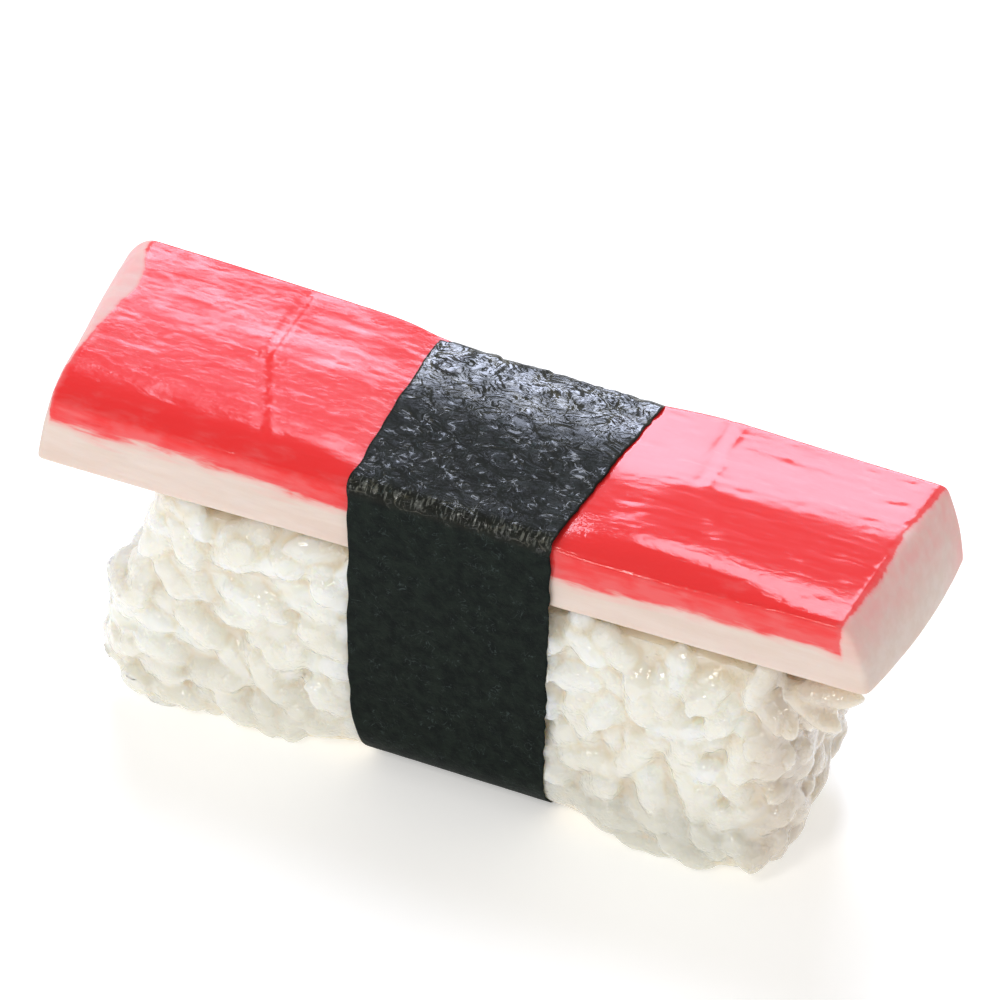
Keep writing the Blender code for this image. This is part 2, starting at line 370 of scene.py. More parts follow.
def nori_material(settings):
    """A dark dried sheet: matt and fibrous down the sides, wet and crinkled where it lies on the stick."""
    shader = Shader("nori", Specular_IOR_Level=0.07, Roughness=0.6)
    wet, shoulder = shader.attribute("wet"), shader.attribute("shoulder")
    on_top = shader.between(wet, 0.0, 0.04)
    fibres = shader.noise((0.8, 0.8, 0.8), 5.0, roughness=0.7, distortion=0.6)
    blotches = shader.noise((1.3, 1.3, 1.3), 4.0, roughness=0.65)
    patches = shader.noise((2.6, 1.6, 1.6), 3.0, distortion=0.8)
    ripples = shader.noise((0.6, 0.45, 0.6), 2.0)
    threads = shader.crease((1.6, 1.6, 1.6), distortion=2.0)
    folds = shader.crease((5.0, 3.0, 3.0), distortion=1.2)
    crinkles = shader.crease((1.7, 1.2, 1.2), distortion=0.8)

    # The dry sheet: blotches, broken threads, painted shade darkening and warming the top, and pale hair-like
    # strokes over the front shoulder as a painted highlight
    sheet = shader.mix(shader.between(blotches, 0.35, 0.65), settings.sheet, settings.sheet_shade)
    # Painted shade: the top, which gets more light, is darkened and warmed
    sheet = shader.mix(on_top * 0.5, sheet, settings.top_shade)
    broken = shader.between(shader.noise((1.2, 1.2, 1.2)), 0.50, 0.62)
    dry = shader.mix((1 - shader.between(threads, 0.0, 0.02)) * broken, sheet, settings.thread)
    hairs = shader.between(shader.noise((0.25, 0.8, 0.8), 3.0, distortion=0.5), 0.50, 0.66)
    # Painted highlight: pale hair-like strokes along the front shoulder crease
    dry = shader.mix(shoulder * hairs * 0.7, dry, settings.shoulder_highlight)
    shader.feed(Base_Color=dry, Normal=shader.bump(fibres, SHEET_RELIEF))

    # The wet surface: patches at the back, ridges of crinkles on the whole top
    ridges = (1 - shader.between(crinkles, 0.0, 0.035)) * shader.between(patches, 0.42, 0.56)
    share = wet * shader.between(patches, 0.38, 0.62, 0.5, 1.0) + shoulder * hairs * 0.4
    share = share + on_top * ridges * 0.45
    glossy = shader.second_surface(share, Specular_IOR_Level=settings.gloss, Roughness=0.2)
    calm = 1.1 - wet * 0.35
    relief = shader.bump(folds * calm, FOLD_RELIEF)
    relief = shader.bump(crinkles * calm, CRINKLE_RELIEF, under=relief)
    relief = shader.bump(ripples, RIPPLE_RELIEF, under=relief)
    olive = (1 - shader.between(folds, 0.0, 0.09)) * 0.9
    shader.feed(glossy, Base_Color=shader.mix(olive, sheet, settings.crevice), Normal=relief)
    return shader.material


def stick_base(x):
    """Height of the stick's underside."""
    return STICK_BASE + STICK_TAPER * x


def waist(x, depth):
    """How far the band draws the stick in at these places along it."""
    beyond = np.maximum(np.maximum(BAND_LEFT - x, x - BAND_RIGHT_TOP), 0)
    return depth * ramp(0, 1, 1 - beyond / WAIST_FADE)


def crown_drop(across):
    """How far the stick's top falls to the front: flat behind the middle, steeper at the shoulder."""
    forward = np.maximum(0, CROWN_FRONT - across)
    return SHOULDER_DROP * (0.6 * forward + 0.4 * forward**3)


def shoulder_roll(across, x):
    """How much further its front edge rolls over: not under the band, nor at the right end."""
    beyond = ramp(*ROLL_BAND_FADE, np.maximum(BAND_LEFT - x, x - BAND_RIGHT_TOP))
    before_end = 1 - ramp(*ROLL_END_FADE, x)
    return SHOULDER_ROLL * beyond * before_end * np.maximum(0, (-across - ROLL_START) / ROLL_WIDTH) ** 2


def stick_places(unit, pinch):
    """Where points of the unit cube lie on the stick."""
    along, across, depth = unit[:, 0], unit[:, 1], (1 - unit[:, 2]) / 2
    bulge = END_BULGE * (1 - (1 - depth) ** (3.2 + 1.9 * across))
    left = STICK_LEFT - STICK_SKEW * (across + 1) / 2 - bulge * (0.92 + 0.22 * across)
    bulge = END_BULGE * (1 - (1 - depth) ** 2)
    right = STICK_RIGHT + STICK_SKEW * across + bulge * (1.05 - 0.1 * across - 0.3 * across**2)
    x = left + (right - left) * (along + 1) / 2
    drawn_in = waist(x, pinch)
    back = STICK_BACK - STICK_FLARE * along + BACK_BEND * np.maximum(0, -along) - drawn_in
    y = STICK_FRONT + (back - STICK_FRONT) * (across + 1) / 2
    top = STICK_HIGH.z - crown_drop(across) - shoulder_roll(across, x) - drawn_in
    return np.stack([x, y, top + (stick_base(x) - top) * depth], axis=1)


# Edges of the dye in millimetres: its depth for places along the stick, its ends for places across it
DYE_DEPTH = ((-36, 4.6), (-33, 5.0), (-29, 4.4), (-24, 4.1), (-18, 4.6), (-9, 4.7))
DYE_DEPTH += ((10, 5.1), (20, 4.9), (27, 4.1), (36, 3.9))
DYE_LEFT = ((-10, -37.7), (-6, -37.5), (0, -36.9), (4.5, -36.2), (7, -36.6), (9.5, -37.9))
DYE_RIGHT = ((-10, 36.9), (-8, 37.3), (-3, 37.8), (3, 37.5), (6, 38.0), (9.5, 38.4))
# The dye's value runs over this many millimetres, and so much faster from its ends
DYE_RUN, DYE_END_RUN = 8, 4
# Marks pressed across the top, in millimetres: their start, their end and their depth
CROSS_MARKS = (
    ((-22.0, 9.4), (-22.0, 0.8), 0.15),
    ((-22.0, 0.8), (-18.2, -8.0), 0.13),
    ((18.4, 9.5), (19.0, 1.5), 0.07),
)
# Half width of a mark, reach of its ends, and its lip's place in half widths
MARK_WIDTH, MARK_END, MARK_LIP = 0.35 * MM, 0.6 * MM, 1.8
# Where the skin's relief fades, its look changes to the right half's, and the coarse front starts
SMOOTHER, RIGHT_HALF, FRONT_SIDE = mm(-5, 12), mm(-12, 12), mm(-4, -7)
# Where the undyed cut ends start, where pink is rubbed onto them, and how far from their edges
CUT_END, RUB_END, RUB_REACH = mm(35.2, 36.2), mm(34, 37), 5.5 * MM


def cross_marks(places):
    """Shallow grooves pressed across the stick's top, each with a raised lip."""
    total = np.zeros(len(places))
    for start, end, depth in CROSS_MARKS:
        first, last = np.array(start) * MM, np.array(end) * MM
        run = last - first
        share = np.clip(((places[:, :2] - first) @ run) / (run @ run), 0, 1)
        away = places[:, :2] - (first + share[:, None] * run)
        side = away[:, 0] / MARK_WIDTH
        near = np.exp(-((np.abs(away[:, 1]) / MARK_END) ** 2))
        groove = -np.exp(-(side**2)) + 0.7 * np.exp(-((side - MARK_LIP) ** 2))
        total += depth * MM * groove * near
    on_top = ramp(STICK_HIGH.z - 1.6 * MM, STICK_HIGH.z - 1.0 * MM, places[:, 2])
    return total * on_top


def stick_relief(places):
    """Lengthwise fibres, small dents and slow unevenness of the surimi's skin."""
    swell = 0.09 * noise_at(places, (16, 6, 6), 3.0)
    strands = 0.022 * noise_at(places, (20, 1.8, 1.8), 7.0)
    threads = 0.008 * noise_at(places, (7, 0.6, 0.6), 11.0)
    dents = 0.08 * np.minimum(0, noise_at(places, (1.6, 1.0, 1.0), 17.0) + 0.25)
    smoother = 1 - 0.45 * ramp(*SMOOTHER, places[:, 0])
    return (swell + strands + threads + dents) * smoother * MM


def along_line(line, values):
    """Follow a line of pairs, both in millimetres."""
    start, end = np.array(line).T
    return np.interp(values / MM, start, end)


def dye_reach(places):
    """How far each vertex lies inside the dyed skin: 0.5 on its edge, 1 half a run inside."""
    x, y, z = places.T
    inside = (z - STICK_HIGH.z) / MM + along_line(DYE_DEPTH, x)
    from_end = np.minimum(x / MM - along_line(DYE_LEFT, y), along_line(DYE_RIGHT, y) - x / MM)
    inside = np.minimum(inside, DYE_END_RUN * from_end)
    return np.clip(0.5 + inside / DYE_RUN, 0, 1)


def end_rub(places):
    """Pink rubbed onto the ends: 1 at their top and back edges, fading away from them."""
    x, y, z = places.T
    from_edge = np.minimum(STICK_HIGH.z - 0.8 * MM - z, 0.8 * (STICK_BACK - y))
    return (1 - ramp(0, RUB_REACH, from_edge)) * ramp(*RUB_END, np.abs(x))


# Cuts of the stick: even ones, with more where an edge stays tight
CUTS_ALONG = [0.03 - 1] + even_cuts(18) + [1 - 0.03]
CUTS_ACROSS = even_cuts(16) + [0.96]
CUTS_UP = (-0.84, -0.5, 0.0, 0.45, 0.78)


def build_stick(settings):
    stick = add_cut_cube("surimi_flesh", (CUTS_ALONG, CUTS_ACROSS, CUTS_UP))
    mesh = stick.data
    move_vertices(mesh, stick_places(places_of(mesh), settings.pinch))
    apply_modifier(stick, "SUBSURF", levels=3, render_levels=3)
    places, normals = places_of(mesh), normals_of(mesh)
    bare = 1 - ramp(0.7, 1.0, waist(places[:, 0], 1.0))
    height = stick_relief(places) * bare + cross_marks(places)
    right_half = ramp(*RIGHT_HALF, places[:, 0])
    front_side = ramp(*FRONT_SIDE, places[:, 1])
    coarse = np.maximum(1 - 0.8 * right_half, 0.9 * front_side)
    cut = ramp(*CUT_END, np.abs(places[:, 0]))
    store_values(mesh, dye=dye_reach(places), rub=end_rub(places), cut=cut)
    store_values(mesh, left=1 - right_half, coarse=coarse)
    move_vertices(mesh, places + normals * height[:, None])
    dress(stick, "surimi_stick", surimi_material(settings))


# Rice block: the envelope of its grains, a rounded box from below the floor that spreads towards its foot
RICE_LEFT, RICE_RIGHT = -34.0 * MM, 33.1 * MM
RICE_WIDTH = 20.7 * MM
RICE_SPREAD = 0.09
RICE_ROUNDNESS = 9
RICE_SUNK = 0.9 * MM
# Its right end is skewed and tucked in at the foot; its left one leans in at the top
RICE_SKEW = 1.2 * MM
RICE_TUCK = 2.4 * MM
RICE_LEAN, LEAN_RISE = 4.2 * MM, (0.42, 0.78)
# Distances from the band over which its spread fades
BESIDE_BAND = mm(9, 2)


def rice_places(unit):
    """Where points of the unit cube lie on the rice block's envelope."""
    size = (np.abs(unit) ** RICE_ROUNDNESS).sum(axis=1) ** (1 / RICE_ROUNDNESS)
    round_unit = unit / size[:, None]
    along, across = round_unit[:, 0], round_unit[:, 1]
    along = np.where(np.abs(unit[:, 0]) < 0.6, unit[:, 0], along)
    rise = (round_unit[:, 2] + 1) / 2
    leftness, rightness = np.maximum(0, -2 * along - 1), np.maximum(0, 2 * along - 1)
    x = (RICE_LEFT + RICE_RIGHT) / 2 + (RICE_RIGHT - RICE_LEFT) / 2 * along
    x += RICE_LEAN * leftness * ramp(*LEAN_RISE, rise)
    x -= RICE_TUCK * rightness * (1 - rise) + RICE_SKEW * rightness * across
    beside_band = ramp(*BESIDE_BAND, np.maximum(BAND_LEFT - x, x - BAND_RIGHT_LOW))
    y = across * RICE_WIDTH / 2 * (1 + RICE_SPREAD * (1 - rise) * (1 - beside_band))
    return np.stack([x, y, rise * (stick_base(x) + RICE_SUNK) - RICE_SUNK], axis=1)


def add_envelope():
    envelope = add_cut_cube("rice_envelope", (even_cuts(16), even_cuts(6), even_cuts(6)))
    move_vertices(envelope.data, rice_places(places_of(envelope.data)))
    return envelope


def surface_tree(thing):
    """The object's faces, to look up the nearest place on them."""
    faces = [face.vertices for face in thing.data.polygons]
    return BVHTree.FromPolygons([vertex.co for vertex in thing.data.vertices], faces)


def add_grain():
    """One cooked grain lying along X, blunt at its ends, with the notch left where its germ was."""
    grain = add_mesh(bpy.ops.mesh.primitive_uv_sphere_add, "grain", segments=14, ring_count=10, radius=1)
    bpy.ops.object.mode_set(mode="EDIT")
    bpy.ops.mesh.select_all(action="SELECT")
    bpy.ops.transform.rotate(value=math.pi / 2, orient_axis="Y", center_override=(0, 0, 0))
    bpy.ops.object.mode_set(mode="OBJECT")
    places = places_of(grain.data)
    along = places[:, 0]
    fuller = 1 + 0.16 * np.sin(np.pi * np.clip(np.abs(along), 0, 1)) ** 2
    places[:, 1:] *= fuller[:, None]
    notch = np.exp(-(((along - 0.85) / 0.25) ** 2)) * ramp(0.1, 0.7, places[:, 1])
    places[:, 1] -= 0.35 * notch
    move_vertices(grain.data, places)
    return grain


# Places along a grain's spine
SPINE_SHARES = (-1, -0.5, 0, 0.5, 1)


def lay_grain(spot, normal, settings, draw, tip):
    """A grain laid on the surface at this spot, turned and tipped at random: its matrix and its spine."""
    facing = normal.to_track_quat("Z", "Y").to_matrix().to_4x4()
    turn = Matrix.Rotation(draw.uniform(0, 2 * math.pi), 4, "Z")
    tilt = Matrix.Rotation(draw.gauss(0, tip), 4, "Y")
    roll = Matrix.Rotation(draw.gauss(0, 0.25), 4, "X")
    plump = draw.uniform(0.88, 1.12)
    half_length = settings.grain_length / 2 * draw.uniform(0.8, 1.1)
    width = settings.grain_width / 2 * plump
    thickness = settings.grain_thickness / 2 * plump
    placed = Matrix.Translation(spot) @ facing @ turn @ tilt @ roll
    spine_places = [Vector((share * (half_length - width), 0, 0)) for share in SPINE_SHARES]
    spine = np.array([placed @ place for place in spine_places])
    half_sizes = [half + settings.starch for half in (half_length, width, thickness)]
    return placed @ Matrix.Diagonal((*half_sizes, 1)), spine


# Grains are sought from an ellipse round the block, this share of them evenly along it, and only on its sides
ELLIPSE_X, ELLIPSE_Y = 46 * MM, 20 * MM
SHARE_ALONG, STEEPEST = 0.75, 0.75


def scatter(tree, settings, draw, depth, tip):
    """Grains over the block's four sides at this depth, as close as the spacing lets them."""
    far_away = 1e3
    grains, spines = [], np.full((1, len(SPINE_SHARES), 3), far_away)
    for _ in range(settings.tries):
        around = draw.uniform(0, 2 * math.pi)
        on_ellipse = ELLIPSE_X * math.cos(around), ELLIPSE_Y * math.sin(around)
        start = Vector((*on_ellipse, draw.uniform(0, STICK_BASE)))
        if draw.random() < SHARE_ALONG:
            start.x = draw.uniform(RICE_LEFT, RICE_RIGHT)
        spot, normal, _, _ = tree.find_nearest(start)
        if abs(normal.z) > STEEPEST:
            continue
        spot = spot - normal * depth * draw.uniform(0.8, 1.25)
        matrix, spine = lay_grain(spot, normal, settings, draw, tip)
        away = np.linalg.norm(spines[:, :, None] - spine[None, None], axis=-1)
        if away.min() > settings.spacing:
            grains.append(matrix)
            spines = np.concatenate([spines, spine[None]])
    return grains, list(spines[1:])


# Grains squeezed out of the block: their middles in millimetres, their turn and tip in degrees
STRAY_GRAINS = (
    ((35.2, -8.0, 23.4), 6, -4),
    ((34.0, -8.6, 21.9), -10, 24),
    ((32.6, -4.0, 24.0), 25, 10),
    ((-31.3, -8.9, 11.8), -35, 0),
)


def stray_grains(settings):
    """Matrices and spines of the grains squeezed out of the block."""
    grains, spines = [], []
    for middle, turn, tip in STRAY_GRAINS:
        turned = Matrix.Rotation(math.radians(turn), 4, "Z") @ Matrix.Rotation(math.radians(tip), 4, "Y")
        placed = Matrix.Translation(Vector(middle) * MM) @ turned
        half = Vector((settings.grain_length, settings.grain_width, settings.grain_thickness)) / 2
        spines.append(np.array([placed @ Vector((share * half.x, 0, 0)) for share in (-0.6, 0, 0.6)]))
        grains.append(placed @ Matrix.Diagonal((*(half + Vector([settings.starch] * 3)), 1)))
    return grains, spines


def join_copies(name, base, shape, matrices):
    """One object of a base mesh and copies of a shape, each placed by its matrix."""
    shape_places = np.c_[places_of(shape), np.ones(len(shape.vertices))]
    shape_faces = [tuple(face.vertices) for face in shape.polygons]
    all_places = [places_of(base)]
    faces = [tuple(face.vertices) for face in base.polygons]
    start = len(base.vertices)
    for matrix in matrices:
        all_places.append((shape_places @ np.array(matrix).T)[:, :3])
        faces.extend(tuple(start + corner for corner in face) for face in shape_faces)
        start += len(shape.vertices)
    mesh = bpy.data.meshes.new(name)
    mesh.from_pydata(np.concatenate(all_places), [], faces)
    joined = bpy.data.objects.new(name, mesh)
    bpy.context.collection.objects.link(joined)
    return joined


# Room that the rice keeps from the band's sides, its lower corners and its floor
SIDE_ROOM, CORNER_ROOM, FLOOR_ROOM = 0.12 * MM, 0.25 * MM, 0.9 * MM
# Distances inside the band's edges over which the rice follows its sides and its lower corners
IN_BAND, NEAR_BAND = mm(-0.5, 0.1), mm(-6, -1)
# The same for the stick, how far the rice reaches into it, and how much higher it stands beside it
IN_STICK, STICK_OVERLAP, BESIDE_STICK = mm(-0.3, 0.2), 0.05 * MM, 0.6 * MM


def press_rice(places):
    """Bring the rice inside the band and under the stick, flat where it meets the floor."""
    x, y, z = places.T.copy()
    right = band_right(y, z)
    in_band = ramp(*IN_BAND, np.minimum(x - band_left(y, z), right - x))
    inner = BAND_SIDE - SIDE_ROOM
    y = y + in_band * (np.clip(y, -inner, inner) - y)
    z = z + in_band * (np.maximum(z, FLOOR_ROOM) - z)
    corner_y, corner_z = BAND_SIDE - BAND_CORNER, BAND_CORNER
    reach_y, reach_z = np.maximum(np.abs(y) - corner_y, 0), np.minimum(z - corner_z, 0)
    reach = np.hypot(reach_y, reach_z)
    limit = BAND_CORNER - CORNER_ROOM
    past = (reach > limit) & (reach_y > 0) & (reach_z < 0)
    shrink = np.where(past, limit / np.maximum(reach, 1e-9), 1)
    beside = ramp(*NEAR_BAND, np.minimum(x - band_left(y, z), right - x))
    blend = 1 + np.maximum(in_band, 0.85 * beside) * (shrink - 1)
    y = np.where(past, np.sign(y) * (corner_y + reach_y * blend), y)
    z = np.where(past, corner_z + reach_z * blend, z)
    under_stick = ramp(*IN_STICK, np.minimum(y - STICK_FRONT, STICK_BACK - y))
    ceiling = stick_base(x) + STICK_OVERLAP + (1 - under_stick) * BESIDE_STICK
    z = np.clip(z, 0, ceiling)
    room = STICK_BACK - 0.5 * MM + 0.7 * np.maximum(0, stick_base(x) - z)
    y = np.clip(y, -room, room)
    return np.stack([x, y, z], axis=1)


def envelope_depth(tree, places):
    """How deep each vertex lies under the envelope, and which way is out."""
    depths, outward = [], []
    for row in places:
        near, normal, _, _ = tree.find_nearest(Vector(row))
        depths.append((near - Vector(row)).dot(normal))
        outward.append(normal)
    return np.array(depths), np.array(outward)


# Spine places looked up for each vertex, and the width of the painted shade along a seam between grains
NEAREST_PLACES, SEAM_SHADE_WIDTH = 8, 0.55 * MM


def grain_tones(mesh, spines, draw):
    """For each vertex, the clearness of its grain and how close it is to the next grain, for painted shade along
    the seams.
    """
    spots = KDTree(sum(len(spine) for spine in spines))
    for index, spine in enumerate(spines):
        for place in spine:
            spots.insert(place, index)
    spots.balance()
    clearness = [draw.random() for _ in spines]
    tones, seams = [], []
    for place in places_of(mesh):
        near = spots.find_n(place, NEAREST_PLACES)
        first = near[0]
        tones.append(clearness[first[1]])
        gaps = [other[2] - first[2] for other in near if other[1] != first[1]]
        seams.append(min(gaps, default=1.0))
    return np.array(tones), 1 - ramp(0, SEAM_SHADE_WIDTH, np.array(seams))


# How far grains may stand proud of the envelope, and the share of the rest that is taken off
PROUD, PROUD_LOSS = 0.35 * MM, 0.7
# Depth at which the painted shade of a gap is full, and ranges of the painted shade below the stick, at the
# right end and at the foot
GAP_SHADE_DEPTH = 2.4 * MM
UNDER_STICK_SHADE, RIGHT_END_SHADE, FOOT_SHADE_HEIGHTS = mm(-5, -0.5), mm(27, 31.5), mm(1, 11)


def fuse_rice(name, core, grain, matrices, tree, settings):
    """Fuse grains with the core they lie on, and shape the result to what it touches."""
    rice = join_copies(name, core, grain, matrices)
    apply_modifier(rice, "REMESH", mode="VOXEL", voxel_size=settings.fineness)
    mesh = rice.data
    lumps = 0.08 * noise_at(places_of(mesh), (1.5, 1.5, 1.5), 5.0)[:, None] * MM
    move_vertices(mesh, places_of(mesh) + normals_of(mesh) * (lumps - settings.starch))
    apply_modifier(rice, "SMOOTH", factor=0.5, iterations=settings.softening)
    move_vertices(mesh, press_rice(places_of(mesh)))
    triangles = 2 * len(mesh.polygons)
    if triangles > settings.most_triangles:
        apply_modifier(rice, "DECIMATE", ratio=settings.most_triangles / triangles)
    places = places_of(mesh)
    depth, outward = envelope_depth(tree, places)
    proud = np.maximum(0, -PROUD - depth) * (places[:, 0] < RICE_RIGHT - 1 * MM)
    places -= PROUD_LOSS * proud[:, None] * outward
    move_vertices(mesh, places)
    x, _, z = places.T
    under_stick = ramp(*UNDER_STICK_SHADE, z - stick_base(x))
    # Painted shade: darker and warmer deeper under the envelope and close under the stick
    gap = np.clip(depth / GAP_SHADE_DEPTH, 0, 1) + 0.4 * under_stick
    # Painted shade: darker and greyer towards the foot, more so to the right
    foot = (1 - ramp(*FOOT_SHADE_HEIGHTS, z)) * (1 + x / (50 * MM))
    # The right end of the block takes painted shade as well
    store_values(mesh, gap=gap, foot=foot, end=ramp(*RIGHT_END_SHADE, x))
    return rice


def cut_core(core, low, high):
    """A copy of the core's mesh, held between two places along it."""
    part = core.copy()
    places = places_of(part)
    places[:, 0] = np.clip(places[:, 0], low, high)
    move_vertices(part, places)
    return part


# Ends of the block's parts
SHOWN_PARTS = (("rice_left", RICE_LEFT, -5 * MM), ("rice_right", 6 * MM, RICE_RIGHT))
HIDDEN_PART = mm(-6, 7)
# A part takes grains from this far beyond its ends, but none from behind the band
GRAIN_REACH, NO_GRAINS = 4 * MM, mm(-4, 5)
# How far grains of the two layers are tipped
OUTER_TIP, LOWER_TIP = math.radians(13), math.radians(14)


def build_rice(settings):
    draw = Random(settings.seed)
    envelope = add_envelope()
    tree = surface_tree(envelope)
    grains, spines = scatter(tree, settings, draw, settings.outer_depth, OUTER_TIP)
    lower_depth = settings.outer_depth + settings.layer_step
    lower_grains, lower_spines = scatter(tree, settings, draw, lower_depth, LOWER_TIP)
    stray, stray_spines = stray_grains(settings)
    grains += lower_grains + stray
    spines += lower_spines + stray_spines
    grain = add_grain()
    core = envelope.data.copy()
    move_vertices(core, places_of(core) - normals_of(core) * (settings.core_depth - settings.starch))
    material = rice_material(settings)
    for name, low, high in SHOWN_PARTS:
        held = [each for each in grains if low - GRAIN_REACH < each.translation.x < high + GRAIN_REACH]
        held = [each for each in held if not NO_GRAINS[0] < each.translation.x < NO_GRAINS[1]]
        block = fuse_rice(name, cut_core(core, low, high), grain.data, held, tree, settings)
        tones, seams = grain_tones(block.data, spines, Random(settings.seed))
        store_values(block.data, tone=tones, seam=seams)
        dress(block, "rice", material)
    middle = join_copies("rice_middle", cut_core(core, *HIDDEN_PART), grain.data, [])
    apply_modifier(middle, "REMESH", mode="VOXEL", voxel_size=2 * settings.fineness)
    move_vertices(middle.data, press_rice(places_of(middle.data)))
    dress(middle, "rice", material)
    for used in (grain, envelope):
        bpy.data.objects.remove(used)


def band_right(y, z):
    """The band's right edge: it slants over the top and stays upright down the front."""
    back = (y / BAND_SIDE + 1) / 2
    rise = np.clip(z / STICK_HIGH.z, 0, 1)
    return BAND_RIGHT_LOW + (BAND_RIGHT_TOP - BAND_RIGHT_LOW) * rise * (0.3 + 0.7 * back)


def band_left(y, z):
    """The band's left edge: a little wider over the top's back, and drawn in at the foot."""
    foot = np.maximum(0, 8 * MM - z) * 0.18
    return BAND_LEFT - 0.35 * MM * ramp(-6 * MM, 4 * MM, y) * (z > 0.5 * STICK_HIGH.z) + foot


def rounded_path(corners, step):
    """Evenly spaced points of a line through corners (y, z, radius)."""
    points = [Vector(corners[0][:2])]
    for before, corner, after in zip(corners, corners[1:], corners[2:]):
        here = Vector(corner[:2])
        back = (Vector(before[:2]) - here).normalized()
        ahead = (Vector(after[:2]) - here).normalized()
        turn = math.pi - back.angle(ahead)
        tangent = corner[2] * math.tan(turn / 2)
        centre = here + (back + ahead).normalized() * corner[2] / math.cos(turn / 2)
        start = here + back * tangent - centre
        side = math.copysign(1, back.x * ahead.y - back.y * ahead.x)
        for share in np.linspace(0, 1, 13):
            points.append(centre + Matrix.Rotation(-side * turn * share, 2) @ start)
    points.append(Vector(corners[-1][:2]))
    points = np.array(points)
    run = np.r_[0, np.cumsum(np.hypot(*np.diff(points, axis=0).T))]
    spots = np.linspace(0, run[-1], round(run[-1] / step) + 1)
    return np.stack([np.interp(spots, run, points[:, 0]), np.interp(spots, run, points[:, 1])], axis=1)


def band_path(settings):
    """From the lapped end under the rice up the back, over the stick and down the front."""
    half = settings.thickness / 2
    under, lap = half + 0.02 * MM, half + settings.thickness + 0.1 * MM
    top = STICK_HIGH.z - settings.pinch + half
    corners = (
        (-4.2 * MM, lap, 0),
        (3.0 * MM, lap, 2 * MM),
        (4.6 * MM, under, 2 * MM),
        (BAND_SIDE, under, 5.4 * MM),
        (BAND_SIDE - 0.2 * MM, top - 0.15 * MM, 1.2 * MM),
        (0, top, 20 * MM),
        (-BAND_SIDE, top - 0.8 * SHOULDER_DROP, 1.3 * MM),
        (-BAND_SIDE, under, BAND_CORNER),
        (1.8 * MM, under, 0),
    )
    return rounded_path(corners, settings.fineness)


# Facets of the crinkled top, in millimetres: their spread, their tilt along X and Y and their greatest height
FACETS_X, FACETS_Y = (-10, 13), (-11, 11)
FACET_TILT, FACET_HEIGHT = (0.05, 0.06), 0.16
CREASE_WIDTH, CREASE_DEPTH = 0.3, 0.07


def crumple(places, settings):
    """Facets of a crinkled wet sheet: each cell tilts its own way, with a crease round it."""
    draw = Random(settings.seed)
    flat = places[:, :2] / MM
    nearest = np.full(len(flat), 1e9)
    second = nearest.copy()
    height = np.zeros(len(flat))
    for _ in range(settings.facets):
        middle = np.array([draw.uniform(*FACETS_X), draw.uniform(*FACETS_Y)])
        turn, stretch = draw.gauss(0.5, 0.7), draw.uniform(1.2, 3.2)
        tilt = np.array([draw.gauss(0, spread) for spread in FACET_TILT])
        away = flat - middle
        along = away @ [math.cos(turn), math.sin(turn)] / math.sqrt(stretch)
        across = away @ [-math.sin(turn), math.cos(turn)] * math.sqrt(stretch)
        distance = np.hypot(along, across)
        closer = distance < nearest
        second = np.where(closer, nearest, np.minimum(second, distance))
        height = np.where(closer, away @ tilt, height)
        nearest = np.where(closer, distance, nearest)
    crease = 1 - ramp(0, CREASE_WIDTH, second - nearest)
    return np.clip(height, -FACET_HEIGHT, FACET_HEIGHT) - CREASE_DEPTH * crease


def band_relief(places, wet, settings):
    """Crinkles where the sheet is wet on the stick, and a faint unevenness elsewhere."""
    slow = noise_at(places, (9, 5, 5), 9.0)
    grain = noise_at(places, (1.1, 1.1, 1.1), 13.0)
    return (wet * (0.10 + crumple(places, settings)) + 0.06 * slow + 0.02 * grain) * MM


# Heights from the stick's top and places to the back over which the sheet grows wet, and its front's share
WET_HEIGHT, WET_BACK, FRONT_WETNESS = mm(-3.0, -1.4), mm(-0.5, 8), 0.05
# Heights over which its relief sets in, and the middle of its height
RELIEF_HEIGHT, BAND_MIDDLE = mm(0.5, 2.5), 17 * MM
# Place of the painted highlight of pale hair-like strokes along the front shoulder, in from the front and down
# from the stick's top, and its reach
HAIRS_IN, HAIRS_DOWN, HAIRS_REACH = 0.4 * MM, 1.2 * MM, mm(0.25, 0.9)


def sheet_places(across, y, z):
    """Where points of the sheet lie, between its uneven edges."""
    upright = np.stack([y * 0, y, z], axis=1)
    left = band_left(y, z) + 0.30 * MM * noise_at(upright, (3, 3, 3), 31.0)
    right = band_right(y, z) + 0.16 * MM * noise_at(upright, (0.9, 0.9, 0.9), 37.0)
    return np.stack([left + (right - left) * across, y, z], axis=1)


def build_band(settings):
    path = band_path(settings)
    last = len(path) - 1
    width_steps = round(21 * MM / settings.fineness)
    steps = {"x_subdivisions": last, "y_subdivisions": width_steps}
    band = add_mesh(bpy.ops.mesh.primitive_grid_add, "nori_sheet", size=2, **steps)
    mesh = band.data
    grid = places_of(mesh)
    y, z = path[np.rint((grid[:, 0] + 1) / 2 * last).astype(int)].T
    places = sheet_places((grid[:, 1] + 1) / 2, y, z)
    move_vertices(mesh, places)
    normals = normals_of(mesh)
    outward = np.sign((normals[:, 1:] * (places[:, 1:] - [0, BAND_MIDDLE])).sum(axis=1).mean())
    wet = ramp(STICK_HIGH.z + WET_HEIGHT[0], STICK_HIGH.z + WET_HEIGHT[1], z)
    wet *= FRONT_WETNESS + (1 - FRONT_WETNESS) * ramp(*WET_BACK, y)
    relief = band_relief(places, wet, settings) * ramp(*RELIEF_HEIGHT, z)
    shoulder = np.hypot(y + BAND_SIDE - HAIRS_IN, z - STICK_HIGH.z + HAIRS_DOWN)
    store_values(mesh, wet=wet, shoulder=1 - ramp(*HAIRS_REACH, shoulder))
    move_vertices(mesh, places + normals * (outward * relief)[:, None])
    apply_modifier(band, "SOLIDIFY", thickness=settings.thickness, offset=0.0)
    dress(band, "nori_band", nori_material(settings))


